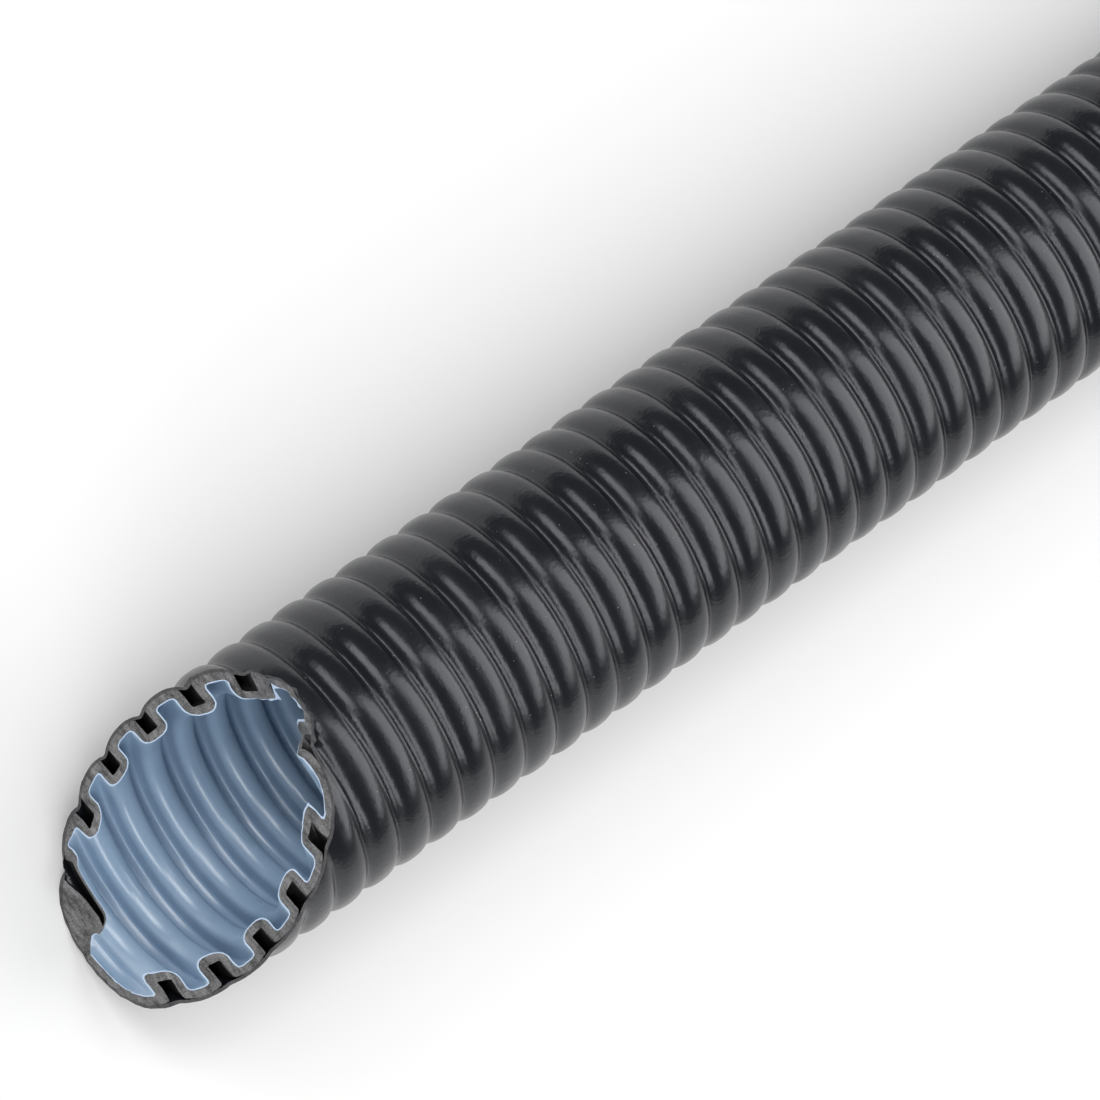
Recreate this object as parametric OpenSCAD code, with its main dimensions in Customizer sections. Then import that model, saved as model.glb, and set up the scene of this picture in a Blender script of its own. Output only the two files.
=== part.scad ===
// Sheathed corrugated conduit, a straight cut length.
// Three layers, each one turned about the tube's axis: a thin outer sheath that is
// draped over the ribs, the corrugated wall, and a thin slide layer in the bore.
// The near end is cut at a slant with a knife, the far end is cut square.
// The tube lies along X on z = 0, turned about its axis as it comes to rest on a floor.

/* [Length and ends] */
// Length that the piece is sold in, from the tip of the slanted end
cut_length = 1000; // [60:1:2000]
// Angle of the slanted cut from a square cut
slant_angle = 43; // [0:1:50]
// Distance on the axis from the slanted cut to the first groove behind it
first_groove = 2.9; // [0.1:0.1:3.6]
// Turn about the axis at which the piece lies still, from the long lip straight down
rest_turn = -25.7; // [-180:0.1:180]

/* [Corrugation] */
// Diameter over the sheath, at the crests
outside_d = 25; // [24.6:0.1:40]
// Clear diameter inside, at the inner crests
bore_d = 18.3; // [14:0.1:18.6]
// Distance from one groove to the next
rib_pitch = 3.64; // [3.5:0.02:6]
// Width of the ring-shaped hollow under each groove
hollow_w = 0.95; // [0.7:0.05:1.1]

/* [Walls] */
// Thickness of the outer sheath
sheath_t = 0.3; // [0.2:0.05:0.4]
// Thickness of the slide layer in the bore
slide_t = 0.1; // [0.08:0.01:0.15]
// Thickness of the corrugated wall at the crests, under the sheath
crest_wall = 0.68; // [0.5:0.02:0.9]
// Thickness of the corrugated wall beside each hollow
side_wall = 0.55; // [0.45:0.01:0.6]
// Thickness of the corrugated wall under each hollow
base_wall = 0.75; // [0.6:0.01:0.9]

/* [Rounding] */
// Depth to which the sheath sags into each groove
groove_depth = 0.6; // [0.3:0.05:0.7]
// Width of the bottom of each groove
groove_w = 0.2; // [0.1:0.05:0.3]
// Width of the level top of each rib
crest_land = 0.5; // [0.3:0.05:0.7]
// Rounding of the inner crests, on the slide layer
inner_round = 0.95; // [0.6:0.05:0.95]
// Rounding of the inner valleys, on the slide layer
valley_round = 0.3; // [0.15:0.05:0.4]
// Bevel of the corrugated wall at the bottom of each hollow
hollow_bevel = 0.15; // [0.05:0.05:0.25]
// Bevel of the corrugated wall at the mouth of each hollow
mouth_bevel = 0.25; // [0.1:0.05:0.3]

/* [Hidden] */

black_plastic = [0.10, 0.10, 0.11];
grey_plastic = [0.30, 0.29, 0.29];
blue_plastic = [0.50, 0.62, 0.78];

// Flat steps along each arc of the section, and the segments of a full turn
dome_steps = 3;
fillet_steps = 2;
turn_segments = 96;

// Radii of the layers' faces, from the outside in
crest_r = outside_d / 2;
groove_r = crest_r - groove_depth;
wall_crest_r = crest_r - sheath_t;
valley_r = wall_crest_r - crest_wall - slide_t;
bore_r = bore_d / 2;
hollow_r = bore_r + slide_t + base_wall;

// Distances along the axis, each from the middle of a groove
groove_half = groove_w / 2;
hollow_half = hollow_w / 2;
mouth_half = hollow_half + mouth_bevel;
inner_rib_half = hollow_half + side_wall + slide_t;
crest_start = (rib_pitch - crest_land) / 2;

// The sheath's dome is one arc from the groove's edge, level where it meets the crest
dome_w = crest_start - groove_half;
dome_r = (pow(dome_w, 2) + pow(groove_depth, 2)) / (2 * groove_depth);
dome_angle = 2 * atan(groove_depth / dome_w);

// Where the slanted cut crosses the axis, and the square cut, in the middle of a rib
slant_x = crest_r * tan(slant_angle) - cut_length / 2;
first_groove_x = slant_x + first_groove;
rib_count = round((cut_length / 2 - first_groove_x) / rib_pitch - 1 / 2);
square_x = first_groove_x + (rib_count + 1 / 2) * rib_pitch;
// Grooves that lie before the first one, out to the tip
lip_grooves = ceil((first_groove_x + cut_length / 2) / rib_pitch);

// Points along an arc, as [along the axis, radius]
function arc(centre, r, from, to, steps) =
    [for (i = [0 : steps])
        let (a = from + (to - from) * i / steps)
        centre + r * [cos(a), sin(a)]];

// Sheath's dome from the groove to the crest, at a depth below its outside
function dome(depth) =
    arc([crest_start, crest_r - dome_r], dome_r - depth, 90 + dome_angle, 90, dome_steps);

// Half sections, each from the middle of a groove to the crest
sheath_outside = dome(0);
// Under the sheath the fold over the groove keeps the sheath's thickness
sheath_underside = concat([[groove_half, groove_r - sheath_t]], dome(sheath_t));

// The corrugated wall lies against the sheath from the mouth of the hollow on
mouth_r = lookup(mouth_half, dome(sheath_t));
wall_outside = concat(
    [[hollow_half - hollow_bevel, hollow_r],
     [hollow_half, hollow_r + hollow_bevel],
     [hollow_half, mouth_r - mouth_bevel],
     [mouth_half, mouth_r]],
    [for (q = dome(sheath_t)) if (q[0] > mouth_half) q]);

// Corrugated inside face, at a depth into the material below the slide layer's face
function inside(depth) = concat(
    arc([inner_rib_half - inner_round, bore_r + inner_round],
        inner_round - depth, -90, 0, fillet_steps),
    arc([inner_rib_half + valley_round, valley_r - valley_round],
        valley_round + depth, 180, 90, fillet_steps));

function reversed(list) = [for (i = [len(list) - 1 : -1 : 0]) list[i]];

// A whole line along the tube: the half section mirrored at every groove
function along(half) =
    [for (i = [-lip_grooves : rib_count + 1])
        let (x = first_groove_x + i * rib_pitch)
        each concat(
            [for (q = reversed(half)) [x - q[0], q[1]]],
            [for (q = half) [x + q[0], q[1]]])];

// The layer between two such lines, turned about the axis
module turned_layer(outer_half, inner_half) {
    outline = concat(along(outer_half), reversed(along(inner_half)));
    rotate([0, 90, 0])
        rotate_extrude($fn = turn_segments)
            polygon([for (q = outline) [q[1], q[0]]]);
}

// Both ends are cut, and the tube is set down on the floor
module cut_to_length() {
    waste = 4 * outside_d;
    translate([0, 0, crest_r])
        rotate([rest_turn, 0, 0])
            difference() {
                children();
                translate([slant_x, 0, 0])
                    rotate([0, slant_angle, 0])
                        translate([-waste, -waste / 2, -waste / 2])
                            cube(waste);
                translate([square_x, -waste / 2, -waste / 2])
                    cube(waste);
            }
}

// Soft glossy skin over the ribs
module sheath() {
    color(black_plastic)
        cut_to_length()
            turned_layer(sheath_outside, sheath_underside);
}

// Ribbed wall that gives the conduit its stiffness
module corrugated_wall() {
    color(grey_plastic)
        cut_to_length()
            turned_layer(wall_outside, inside(slide_t));
}

// Slippery skin of the bore, which the cables run on
module slide_layer() {
    color(blue_plastic)
        cut_to_length()
            turned_layer(inside(slide_t), inside(0));
}

sheath();
corrugated_wall();
slide_layer();
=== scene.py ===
import math

import bmesh
import bpy
from mathutils import Matrix, Vector, noise


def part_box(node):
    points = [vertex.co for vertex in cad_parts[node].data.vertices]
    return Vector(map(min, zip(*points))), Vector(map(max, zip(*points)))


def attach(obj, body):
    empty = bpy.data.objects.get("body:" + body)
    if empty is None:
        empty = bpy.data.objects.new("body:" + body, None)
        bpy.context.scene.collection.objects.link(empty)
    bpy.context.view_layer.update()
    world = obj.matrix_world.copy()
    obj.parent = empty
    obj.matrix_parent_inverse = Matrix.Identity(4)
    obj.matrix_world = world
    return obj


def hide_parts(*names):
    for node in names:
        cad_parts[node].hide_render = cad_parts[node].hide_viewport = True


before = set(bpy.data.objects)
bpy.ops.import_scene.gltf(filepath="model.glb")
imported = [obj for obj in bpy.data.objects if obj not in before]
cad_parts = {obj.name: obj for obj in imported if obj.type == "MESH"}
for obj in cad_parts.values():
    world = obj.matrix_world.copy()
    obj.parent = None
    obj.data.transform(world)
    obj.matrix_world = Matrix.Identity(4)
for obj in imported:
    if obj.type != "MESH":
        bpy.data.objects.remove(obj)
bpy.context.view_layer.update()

# The pieces are shaped in millimetres about the tube's axis, and scaled to metres when they are done
MM = 0.001

# Section of the tube, with the part's own sizes
PITCH = 3.64
CREST_R = 12.5
GROOVE_DEPTH = 0.6
GROOVE_HALF = 0.1
SHEATH_T = 0.3
SLIDE_T = 0.1
HOLLOW_HALF = 0.475
HOLLOW_R = 10.0
HOLLOW_BEVEL = 0.15
MOUTH_BEVEL = 0.25
BORE_R = 9.15
INNER_RIB_HALF = 1.125
INNER_ROUND = 0.95
VALLEY_R = 11.42
VALLEY_ROUND = 0.3

# How flat the ribs are at their tops: 2 is about an arc
DOME_POWER = 2.6

# How far the hollow's mouth lies below the rib beside it
MOUTH_DROP = 0.08

# Half widths of the far inner crests, at their top and where the level valley starts
PLAIN_CREST_HALF, PLAIN_VALLEY_HALF = 0.6, 1.3

# Steps along the rounded parts of each half section
SHEATH_STEPS, UNDERSIDE_STEPS, WALL_STEPS, BORE_STEPS = 6, 3, 4, 5

# The two ends: a slanted knife cut at -X, and a square cut in the middle of a rib at +X
SLANT_ANGLE = math.radians(43)
FIRST_GROOVE = 2.9
RIBS = 270
SQUARE_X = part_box("sheath")[1].x / MM
FIRST_GROOVE_X = SQUARE_X - (RIBS + 0.5) * PITCH
SLANT_X = FIRST_GROOVE_X - FIRST_GROOVE
LIP_GROOVES = 5

# How far the knife strayed from the flat cut: everywhere, in mm along the tube, and in single swerves, as
# (degrees from the top towards +Y, spread, mm along the tube)
KNIFE_DRIFT = 0.25
KNIFE_SWERVES = [(40, 20, 0.5), (10, 6, 0.25), (-22, 20, -0.9), (174, 14, 0.35), (-145, 14, -0.35)]

# The knife's shaking, as (waves per mm, mm along the tube)
KNIFE_SHAKES = [(1.3, 0.07), (4.0, 0.05)]

# At the top, beside the top and at the lip the wall tore off squarer than the slant, as (middle, spread, how
# square), and it is ragged there, as (waves per mm, mm along the tube)
TORN_SECTORS = [(13, 28, 0.85), (-38, 17, 0.32), (-170, 38, 0.5)]
TORN_SHAKES = [(1.1, 0.3), (2.6, 0.22)]

# The layers of the noise that the shaking and the raggedness are taken from
KNIFE_NOISE, TORN_NOISE = 3.0, 8.0

# Beside the lip the knife slipped into the hollow under a groove and laid it open. First where it went in,
# from the cut's middle, and its slope outwards, then the stretch in degrees and radius, by middle and spread
OPENED_X = FIRST_GROOVE - 3 * PITCH + 0.33
OPENED_SLOPE = -0.6
OPENED_MIDDLE, OPENED_SPREAD = 150, 22
OPENED_R, OPENED_REACH = 10.0, 1.65

# The sheath hangs unevenly up to here, a little further than the picture shows the tube
HANG_REACH = SLANT_X + 150

# Where the knife lifted the sheath: the middle of that side and its spread in degrees, and how far back and
# how much of the groove it takes
LIFT_MIDDLE, LIFT_SPREAD, LIFT_REACH, LIFT_SHARE = -95, 55, 2.2, 0.75

# How unevenly the sheath hangs: as a share of its sag, and in mm, in patches of mm along the tube and across
SAG_SHARE, SAG_PATCH = 0.06, (5, 6)
SLACK, SLACK_PATCH = 0.015, (2, 3)

# Flats round the tube near the slanted end, and beyond
SHEATH_TURN, WALL_TURN = 96, 120
FAR_TURN = 24

# Fine turning reaches this many grooves from the first one
SHEATH_FINE, LINING_FINE, HIDDEN_FINE = 34, 8, 4

# The knife's path is worked out up to here, past the highest point of the cut
CUT_REACH = SLANT_X + CREST_R * math.tan(SLANT_ANGLE) + 3

# For the camera the lip of the cut points straight down. The part is stored turned about its axis by this, as
# its first simulation left it lying
REST_TURN = math.radians(-25.7)
AXIS = Vector((0, 0, CREST_R * MM))
TO_REST = Matrix.Translation(AXIS) @ Matrix.Rotation(REST_TURN, 4, "X")

# Edges that are bent by more than this are shaded sharp
SHARP_ANGLE = math.radians(50)


# Section

def arc(centre, radius, start, end, steps):
    """Points (along the tube, radius) on an arc, its angles in degrees."""
    points = []
    for i in range(steps + 1):
        a = math.radians(start + (end - start) * i / steps)
        points.append((centre[0] + radius * math.cos(a), centre[1] + radius * math.sin(a)))
    return points


def dome(depth, steps):
    """The sheath's dome from the groove's edge to the middle of the rib, at a depth below its outside. It is
    flatter at its top than an arc."""
    width = PITCH / 2 - GROOVE_HALF
    return [(GROOVE_HALF + width * i / steps, CREST_R - depth - GROOVE_DEPTH * (1 - i / steps) ** DOME_POWER)
            for i in range(steps + 1)]


def sheath_face(steps):
    return [(0.0, CREST_R - GROOVE_DEPTH)] + dome(0, steps)


def sheath_underside(steps):
    return [(0.0, CREST_R - GROOVE_DEPTH - SHEATH_T)] + dome(SHEATH_T, steps)


def wall_face(steps):
    """The wall's outside: the hollow under the groove with its rounded mouth, then the rib that the sheath
    lies on."""
    mouth_half = HOLLOW_HALF + MOUTH_BEVEL
    rib = [p for p in dome(SHEATH_T, steps) if p[0] > mouth_half]
    mouth_r = rib[0][1] - MOUTH_DROP
    floor_arc = arc((HOLLOW_HALF - HOLLOW_BEVEL, HOLLOW_R + HOLLOW_BEVEL), HOLLOW_BEVEL, -90, 0, 2)
    mouth = [(HOLLOW_HALF, mouth_r - MOUTH_BEVEL),
             (HOLLOW_HALF + 0.3 * MOUTH_BEVEL, mouth_r - 0.25 * MOUTH_BEVEL),
             (mouth_half, mouth_r)]
    return [(0.0, HOLLOW_R)] + floor_arc + mouth + rib


def bore_face(depth, steps):
    """The corrugated inside, at a depth into the material below the slide layer's face."""
    crest = arc((INNER_RIB_HALF - INNER_ROUND, BORE_R + INNER_ROUND), INNER_ROUND - depth, -90, 0, steps)
    valley = arc((INNER_RIB_HALF + VALLEY_ROUND, VALLEY_R - VALLEY_ROUND), VALLEY_ROUND + depth, 180, 90,
                 max(1, steps // 2))
    return [(0.0, BORE_R + depth)] + crest + valley + [(PITCH / 2, VALLEY_R + depth)]


def plain_line(low, high):
    """The half section of a hidden face: from one radius under the groove to another at the rib."""
    return [(0.0, low), (PITCH / 2, high)]


def plain_dome():
    """The far ribs, of two flats to each side."""
    middle = dome(0, 2)[1]
    return [(0.0, CREST_R - GROOVE_DEPTH), middle, (PITCH / 2, CREST_R)]


def plain_bore(depth):
    """The far corrugated inside, its crests and valleys level and joined by a slope."""
    return [(PLAIN_CREST_HALF, BORE_R + depth), (PLAIN_VALLEY_HALF, VALLEY_R + depth)]


def line_along(half, start, stop):
    """The half section mirrored at each groove, from the middle of one groove to that of another."""
    back = [(PITCH - u, r) for u, r in reversed(half) if 0 < u < PITCH / 2 - 1e-6]
    line = []
    for i in range(start, stop):
        x = FIRST_GROOVE_X + i * PITCH
        line += [(x + u, r) for u, r in half + back]
    return line + [(FIRST_GROOVE_X + stop * PITCH, half[0][1])]


# Turning and cutting

def turned_line(bm, line, turn):
    """Rolls a grid up round the tube's axis along a line, and gives the edges of its two end rings."""
    count = len(line)
    grid = bmesh.ops.create_grid(bm, x_segments=count - 1, y_segments=turn, size=1)["verts"]
    for k, v in enumerate(grid):
        x, r = line[k % count]
        a = math.tau * (k // count) / turn
        v.co = (x, r * math.sin(a), r * math.cos(a))
    bmesh.ops.weld_verts(bm, targetmap=dict(zip(grid[count * turn:], grid[:count])))
    return [[e for e in bm.edges if e.is_boundary and all(abs(v.co.x - x) < 1e-4 for v in e.verts)]
            for x in (line[0][0], line[-1][0])]


def turn_shell(bm, fine_half, plain_half, fine_ribs, fine_turn):
    """One face of a layer: turned finely near the slanted end and plainly beyond, joined at a groove."""
    fine = turned_line(bm, line_along(fine_half, -LIP_GROOVES, fine_ribs), fine_turn)
    plain = turned_line(bm, line_along(plain_half, fine_ribs, RIBS + 2)[1:], FAR_TURN)
    bmesh.ops.bridge_loops(bm, edges=fine[1] + plain[0])


def turned_from(angle, middle):
    """Degrees from a middle, the short way round."""
    return (angle - middle + 180) % 360 - 180


def knife_path(y, z):
    """How far the knife strayed along the tube from a flat cut, at a place in the section. High powers give
    the torn and the opened stretches their steep ends."""
    angle = math.degrees(math.atan2(y, z))
    stray = KNIFE_DRIFT
    for scale, shift in KNIFE_SHAKES:
        stray += shift * noise.noise(Vector((scale * y, scale * z, KNIFE_NOISE)))
    for middle, spread, shift in KNIFE_SWERVES:
        stray += shift * math.exp(-(turned_from(angle, middle) / spread) ** 2)
    r = math.hypot(y, z)
    squared = math.tan(SLANT_ANGLE) * (CREST_R / r - 1) * z
    torn = sum(share * math.exp(-(turned_from(angle, middle) / spread) ** 8)
               for middle, spread, share in TORN_SECTORS)
    ragged = sum(shift * noise.noise(Vector((scale * y, scale * z, TORN_NOISE)))
                 for scale, shift in TORN_SHAKES)
    stray += torn * (squared + ragged)
    slipped = math.exp(-(turned_from(angle, OPENED_MIDDLE) / OPENED_SPREAD) ** 8
                       - ((r - OPENED_R) / OPENED_REACH) ** 16)
    opened = OPENED_X + OPENED_SLOPE * max(0.0, r - OPENED_R)
    return stray + slipped * (opened - math.tan(SLANT_ANGLE) * z - stray)


def cut_off(bm, point, away):
    """Cuts the tube with a plane, closes the cut with faces of the second material, and gives the corners
    that the cut made."""
    cut = bmesh.ops.bisect_plane(bm, geom=bm.verts[:] + bm.edges[:] + bm.faces[:], dist=1e-5,
                                 plane_co=point, plane_no=away, clear_outer=True)
    rim = [g for g in cut["geom_cut"] if isinstance(g, bmesh.types.BMEdge)]
    corners = [g for g in cut["geom_cut"] if isinstance(g, bmesh.types.BMVert)]
    filled = bmesh.ops.triangle_fill(bm, use_beauty=True, edges=rim, normal=away)
    faces = [g for g in filled["geom"] if isinstance(g, bmesh.types.BMFace)]
    for face in faces:
        face.material_index = 1
        face.smooth = False
    return corners


def cut_ends(bm):
    """The slanted end follows the knife's path, and the far end is sawn square."""
    near = [v for v in bm.verts if v.co.x < CUT_REACH]
    for v in near:
        v.co.x -= knife_path(v.co.y, v.co.z)
    corners = cut_off(bm, (SLANT_X, 0, 0), (-math.cos(SLANT_ANGLE), 0, math.sin(SLANT_ANGLE)))
    for v in {v for v in near if v.is_valid} | set(corners):
        v.co.x += knife_path(v.co.y, v.co.z)
    cut_off(bm, (SQUARE_X, 0, 0), (1, 0, 0))


def finished_piece(name, bm, materials):
    """Sets the tube down on the floor as it rests and makes the object, in metres."""
    bmesh.ops.recalc_face_normals(bm, faces=bm.faces)
    bmesh.ops.transform(bm, matrix=TO_REST @ Matrix.Scale(MM, 4), verts=bm.verts)
    mesh = bpy.data.meshes.new(name)
    bm.to_mesh(mesh)
    bm.free()
    mesh.set_sharp_from_angle(angle=SHARP_ANGLE)
    for material in materials:
        mesh.materials.append(material)
    piece = bpy.data.objects.new(name, mesh)
    bpy.context.scene.collection.objects.link(piece)
    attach(piece, "root")
    return piece


def turned_layer(name, outer, inner, fine_turn, materials, crests=None):
    """A closed layer of the tube. outer and inner are (fine half section, plain half section, fine ribs).
    crests gives the crest radius of each face where the layer hangs slack over the ribs."""
    bm = bmesh.new()
    for i, (fine_half, plain_half, fine_ribs) in enumerate((outer, inner)):
        first = len(bm.verts)
        turn_shell(bm, fine_half, plain_half, fine_ribs, fine_turn)
        if crests:
            hang([v for v in bm.verts[first:] if v.co.x < HANG_REACH], crests[i])
    for face in bm.faces:
        face.smooth = True
    cut_ends(bm)
    return finished_piece(name, bm, materials)


# Materials

def new_material(name):
    material = bpy.data.materials.new(name)
    material.use_nodes = True
    nodes = material.node_tree.nodes
    shader = nodes["Principled BSDF"]
    place = nodes.new("ShaderNodeTexCoord")
    return material, nodes, material.node_tree.links, shader, place.outputs["Object"]


def stretched(nodes, links, place, along, across):
    """The place in patterns of its own scale along the tube and across it."""
    mapping = nodes.new("ShaderNodeMapping")
    mapping.inputs["Scale"].default_value = (along, across, across)
    links.new(place, mapping.inputs["Vector"])
    return mapping.outputs["Vector"]


def cloud(nodes, links, vector, scale, detail=2.0, rough=0.5):
    tex = nodes.new("ShaderNodeTexNoise")
    tex.inputs["Scale"].default_value = scale
    tex.inputs["Detail"].default_value = detail
    tex.inputs["Roughness"].default_value = rough
    links.new(vector, tex.inputs["Vector"])
    return tex.outputs["Fac"]


def mapped(nodes, links, value, low, high, to_low, to_high):
    """Maps a value's range to another, clamped."""
    node = nodes.new("ShaderNodeMapRange")
    node.inputs["From Min"].default_value = low
    node.inputs["From Max"].default_value = high
    node.inputs["To Min"].default_value = to_low
    node.inputs["To Max"].default_value = to_high
    links.new(value, node.inputs["Value"])
    return node.outputs["Result"]


def mixed(nodes, links, share, first, second):
    """A colour between two, either of which may be a colour or a socket."""
    node = nodes.new("ShaderNodeMix")
    node.data_type = "RGBA"
    links.new(share, node.inputs["Factor"])
    for socket, colour in (("A", first), ("B", second)):
        target = [s for s in node.inputs if s.name == socket and s.type == "RGBA"][0]
        if isinstance(colour, tuple):
            target.default_value = colour + (1.0,)
        else:
            links.new(colour, target)
    return [s for s in node.outputs if s.type == "RGBA"][0]


def bumped(nodes, links, height, distance, strength, before=None):
    node = nodes.new("ShaderNodeBump")
    node.inputs["Distance"].default_value = distance
    node.inputs["Strength"].default_value = strength
    links.new(height, node.inputs["Height"])
    if before:
        links.new(before, node.inputs["Normal"])
    return node.outputs["Normal"]


def sheath_gloss():
    """Near-black glossy skin with orange peel and specks of dust."""
    material, nodes, links, shader, place = new_material("sheath_gloss")
    peel = cloud(nodes, links, place, 2200, 3, 0.6)
    sway = cloud(nodes, links, place, 260, 2, 0.5)
    specks = nodes.new("ShaderNodeTexVoronoi")
    specks.inputs["Scale"].default_value = 1100
    links.new(place, specks.inputs["Vector"])
    speck = mapped(nodes, links, specks.outputs["Distance"], 0.03, 0.07, 1, 0)
    chance = nodes.new("ShaderNodeSeparateColor")
    links.new(specks.outputs["Color"], chance.inputs["Color"])
    rare = mapped(nodes, links, chance.outputs["Red"], 0.5, 0.8, 0, 1)
    both = nodes.new("ShaderNodeMath")
    both.operation = "MULTIPLY"
    links.new(speck, both.inputs[0])
    links.new(rare, both.inputs[1])
    links.new(mixed(nodes, links, both.outputs[0], (0.006, 0.0065, 0.009), (0.26, 0.26, 0.26)),
              shader.inputs["Base Color"])
    links.new(mapped(nodes, links, sway, 0.3, 0.7, 0.19, 0.28), shader.inputs["Roughness"])
    shader.inputs["Specular Tint"].default_value = (0.94, 0.96, 1.0, 1.0)
    soft = bumped(nodes, links, sway, 0.0003, 0.1)
    links.new(bumped(nodes, links, peel, 0.00006, 0.4, soft), shader.inputs["Normal"])
    shader.inputs["IOR"].default_value = 1.5
    return material


def cut_plastic(name, dark, light):
    """Rough knife-cut plastic: grains, and drag marks along the knife's way."""
    material, nodes, links, shader, place = new_material(name)
    grain = cloud(nodes, links, place, 6000, 4, 0.75)
    drag = cloud(nodes, links, stretched(nodes, links, place, 2500, 500), 1, 3, 0.6)
    tone = nodes.new("ShaderNodeMath")
    tone.operation = "ADD"
    links.new(grain, tone.inputs[0])
    links.new(drag, tone.inputs[1])
    links.new(mixed(nodes, links, mapped(nodes, links, tone.outputs[0], 0.8, 1.25, 0, 1), dark, light),
              shader.inputs["Base Color"])
    shader.inputs["Roughness"].default_value = 0.5
    links.new(bumped(nodes, links, tone.outputs[0], 0.00012, 1.0), shader.inputs["Normal"])
    return material


def wall_satin():
    """Black satin wall, seen in the hollows."""
    material, nodes, links, shader, place = new_material("wall_satin")
    blotch = cloud(nodes, links, place, 1200, 3, 0.6)
    links.new(mixed(nodes, links, mapped(nodes, links, blotch, 0.35, 0.7, 0, 1),
                    (0.008, 0.008, 0.009), (0.02, 0.019, 0.019)), shader.inputs["Base Color"])
    shader.inputs["Roughness"].default_value = 0.34
    links.new(bumped(nodes, links, blotch, 0.0001, 0.4), shader.inputs["Normal"])
    return material


def slide_gloss():
    """Light blue slippery skin, drawn out a little along the rings."""
    material, nodes, links, shader, place = new_material("slide_gloss")
    rings = cloud(nodes, links, stretched(nodes, links, place, 1400, 160), 1, 3, 0.55)
    tint = cloud(nodes, links, place, 180, 2, 0.5)
    links.new(mixed(nodes, links, mapped(nodes, links, tint, 0.3, 0.7, 0, 1),
                    (0.24, 0.35, 0.49), (0.295, 0.415, 0.56)), shader.inputs["Base Color"])
    links.new(mapped(nodes, links, rings, 0.3, 0.7, 0.26, 0.38), shader.inputs["Roughness"])
    shader.inputs["IOR"].default_value = 1.9
    links.new(bumped(nodes, links, rings, 0.00012, 0.25), shader.inputs["Normal"])
    return material


def slide_edge():
    """The knife's pale edge on the slide layer."""
    material, nodes, links, shader, place = new_material("slide_edge")
    blotch = cloud(nodes, links, place, 4000, 2, 0.5)
    links.new(mixed(nodes, links, blotch, (0.42, 0.56, 0.78), (0.62, 0.74, 0.88)),
              shader.inputs["Base Color"])
    shader.inputs["Roughness"].default_value = 0.45
    return material


# Layers

def lifted(x, y, z):
    """How far the knife lifted the sheath out of its grooves, 0 to 1: at the cut, on the viewer's side."""
    angle = math.degrees(math.atan2(y, z))
    from_side = turned_from(angle, LIFT_MIDDLE) / LIFT_SPREAD
    behind_cut = max(0.0, x - SLANT_X - math.tan(SLANT_ANGLE) * z) / LIFT_REACH
    return math.exp(-behind_cut ** 2 - from_side ** 4)


def patchy(x, y, z, along, across):
    """Noise in patches of these lengths, in mm along the tube and across it."""
    return noise.noise(Vector((x / along, y / across, z / across)))


def hang(verts, crest_r):
    """The sheath hangs over the ribs a little deeper here and less there, and is lifted at the cut."""
    for v in verts:
        x, y, z = v.co
        r = math.hypot(y, z)
        sag = (1 + SAG_SHARE * patchy(x, y, z, *SAG_PATCH)) * (1 - LIFT_SHARE * lifted(x, y, z))
        down = (crest_r - r) * (sag - 1) + SLACK * abs(patchy(x, y, z, *SLACK_PATCH))
        v.co.y *= (r - down) / r
        v.co.z *= (r - down) / r


sheath = turned_layer("sheath_skin",
                      (sheath_face(SHEATH_STEPS), plain_dome(), SHEATH_FINE),
                      (sheath_underside(UNDERSIDE_STEPS),
                       plain_line(CREST_R - GROOVE_DEPTH - SHEATH_T, CREST_R - SHEATH_T), HIDDEN_FINE),
                      SHEATH_TURN,
                      [sheath_gloss(), cut_plastic("sheath_cut", (0.035, 0.035, 0.038), (0.11, 0.11, 0.115))],
                      (CREST_R, CREST_R - SHEATH_T))
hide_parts("sheath")

wall = turned_layer("ribbed_wall",
                    (wall_face(WALL_STEPS), plain_line(HOLLOW_R, CREST_R - SHEATH_T), HIDDEN_FINE),
                    (bore_face(SLIDE_T, BORE_STEPS), plain_bore(SLIDE_T), LINING_FINE),
                    WALL_TURN,
                    [wall_satin(), cut_plastic("wall_cut", (0.045, 0.045, 0.047), (0.28, 0.277, 0.282))])
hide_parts("corrugated_wall")

lining = turned_layer("slide_lining",
                      (bore_face(SLIDE_T, BORE_STEPS), plain_bore(SLIDE_T), LINING_FINE),
                      (bore_face(0, BORE_STEPS), plain_bore(0), LINING_FINE),
                      WALL_TURN, [slide_gloss(), slide_edge()])
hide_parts("slide_layer")


# Floor, lights and camera

FLOOR_REACH = 30
FLOOR_GREY = 0.8
WORLD_STRENGTH = 0.18

# The soft boxes' ends are counted from this place on the tube, in parts of their distance from its axis
NEAR_END_X = (SLANT_X + 40) * MM
BOX_DISTANCE = 1.2


def studio_floor():
    """A wide pale floor, so light that it shows white where no shadow falls."""
    bm = bmesh.new()
    bmesh.ops.create_grid(bm, x_segments=1, y_segments=1, size=FLOOR_REACH)
    mesh = bpy.data.meshes.new("studio_floor")
    bm.to_mesh(mesh)
    bm.free()
    floor = bpy.data.objects.new("studio_floor", mesh)
    bpy.context.scene.collection.objects.link(floor)
    material = bpy.data.materials.new("pale_floor")
    material.use_nodes = True
    nodes = material.node_tree.nodes
    shader = nodes["Principled BSDF"]
    shader.inputs["Base Color"].default_value = (FLOOR_GREY, FLOOR_GREY, FLOOR_GREY, 1)
    shader.inputs["Roughness"].default_value = 0.9
    shader.inputs["Specular IOR Level"].default_value = 0.0
    mesh.materials.append(material)


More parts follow.
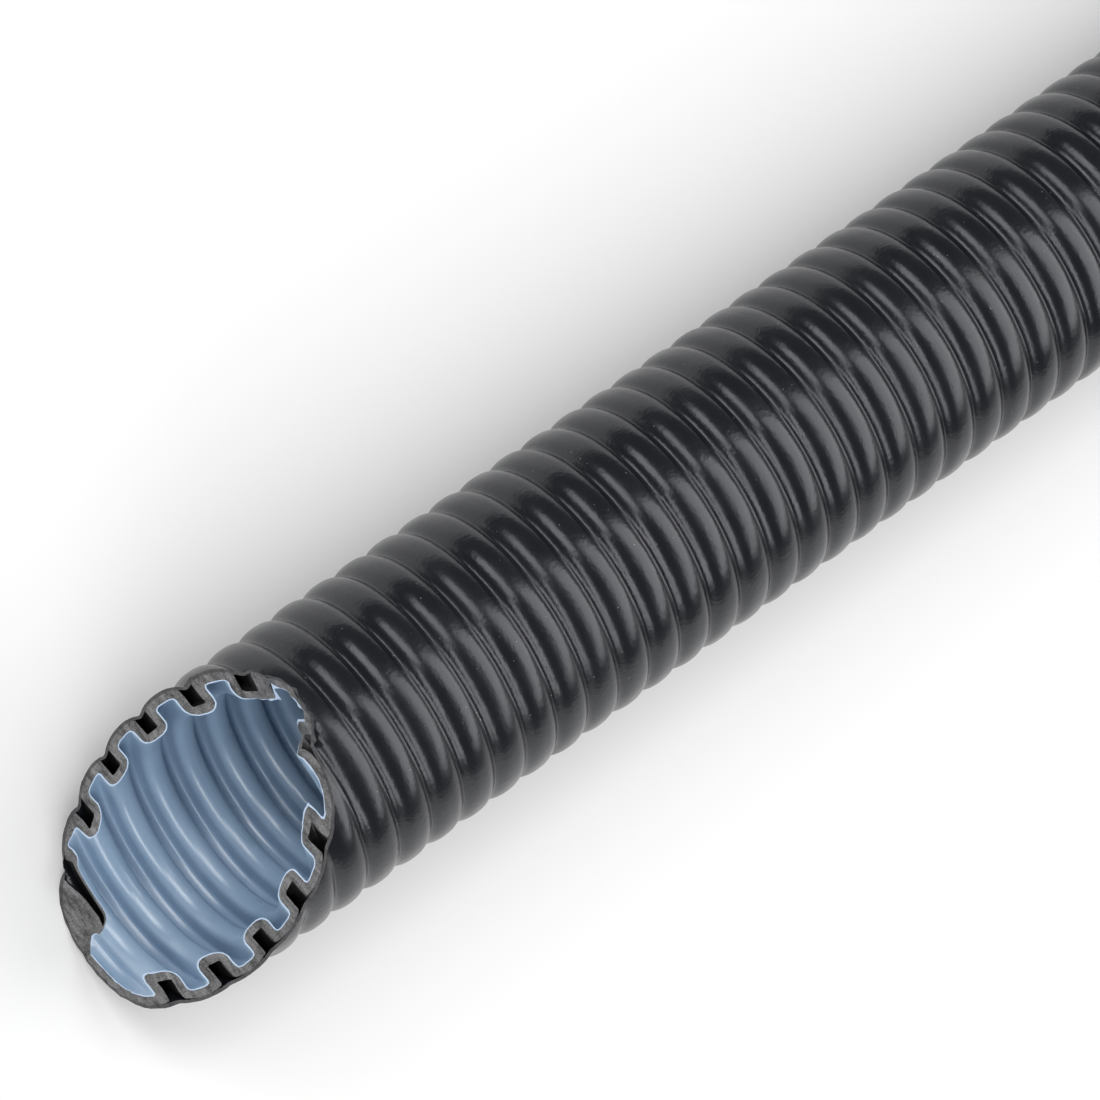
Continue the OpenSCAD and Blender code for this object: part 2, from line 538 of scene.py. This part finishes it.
def soft_box(name, around, reach, start, stop, radiance):
    """A flat soft box that lies along the tube and faces its axis. around is its middle and reach its half
    width, in degrees round the tube from the top; start and stop are its ends, in parts of its distance."""
    lamp = bpy.data.lights.new(name, "AREA")
    lamp.shape = "RECTANGLE"
    lamp.size = (stop - start) * BOX_DISTANCE
    lamp.size_y = 2 * BOX_DISTANCE * math.tan(math.radians(reach))
    lamp.energy = radiance * math.pi * lamp.size * lamp.size_y
    box = bpy.data.objects.new(name, lamp)
    bpy.context.scene.collection.objects.link(box)
    middle = Vector((NEAR_END_X + (start + stop) / 2 * BOX_DISTANCE, 0, 0))
    box.matrix_world = (TO_REST @ Matrix.Translation(middle) @ Matrix.Rotation(math.radians(-around), 4, "X")
                        @ Matrix.Translation((0, 0, BOX_DISTANCE)))
    box.visible_camera = False


studio_floor()
soft_box("side_box", -49, 48, 0.48, 5.0, 3.2)
soft_box("front_strip", -54, 47, -0.95, -0.5, 4.2)
soft_box("back_box", 15.5, 23.5, -0.37, 0.1, 3.6)

world = bpy.data.worlds.new("studio")
bpy.context.scene.world = world
world.use_nodes = True
world.node_tree.nodes["Background"].inputs["Color"].default_value = (1, 1, 1, 1)
world.node_tree.nodes["Background"].inputs["Strength"].default_value = WORLD_STRENGTH

# The camera's place and turn from the tube's axis, with the lip straight down: fitted to the photograph, from
# the grooves on both sides of the outline and the rim of the cut
CAMERA_AT = Vector((-0.61507, -0.14279, 0.39558))
CAMERA_LOOK = Vector((0.37521423, 0.32118351, -0.86951448))
CAMERA_RIGHT = Vector((0.76177624, -0.64129761, 0.09183869))
LENS = 162.797
SENSOR = 36

camera_data = bpy.data.cameras.new("camera")
camera_data.lens = LENS
camera_data.sensor_width = SENSOR
camera_data.clip_start = 0.02
camera = bpy.data.objects.new("camera", camera_data)
bpy.context.scene.collection.objects.link(camera)
camera_up = CAMERA_RIGHT.cross(CAMERA_LOOK)
turn = Matrix((CAMERA_RIGHT, camera_up, -CAMERA_LOOK)).transposed()
camera.matrix_world = TO_REST @ Matrix.Translation(CAMERA_AT) @ turn.to_4x4()
bpy.context.scene.camera = camera

bpy.context.scene.view_settings.view_transform = "Standard"
